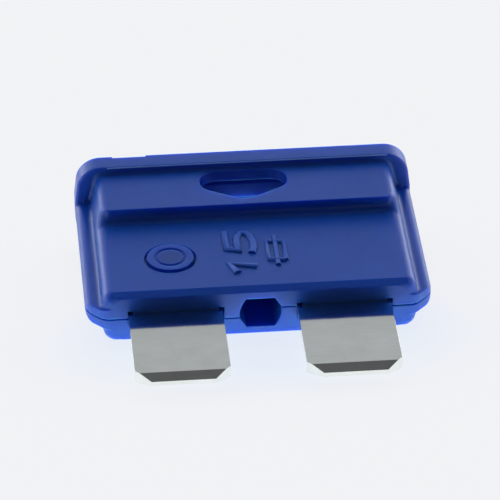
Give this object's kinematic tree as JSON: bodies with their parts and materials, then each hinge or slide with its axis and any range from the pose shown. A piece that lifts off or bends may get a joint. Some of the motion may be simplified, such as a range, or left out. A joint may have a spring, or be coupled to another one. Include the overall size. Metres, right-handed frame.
{
  "type": "blade fuse",
  "caption": "Flat plug-in vehicle fuse: stepped blue plastic housing with a finger head, side ribs and a small window, and flat chamfered metal blades.",
  "frame": {"origin": "middle of the housing's blade end, in the mid-plane of the blades", "axes": "+X across the blades, +Y from the blade tips towards the finger head, +Z out of the front face; the fuse lies on its back"},
  "size_m": [0.019, 0.0187, 0.0056],
  "materials": {
    "housing_plastic": "satin",
    "element_zinc": "brushed"
  },
  "bodies": {
    "root": {"front_shell": "housing_plastic", "rear_shell": "housing_plastic", "fuse_element": "element_zinc"}
  },
  "joints": []
}
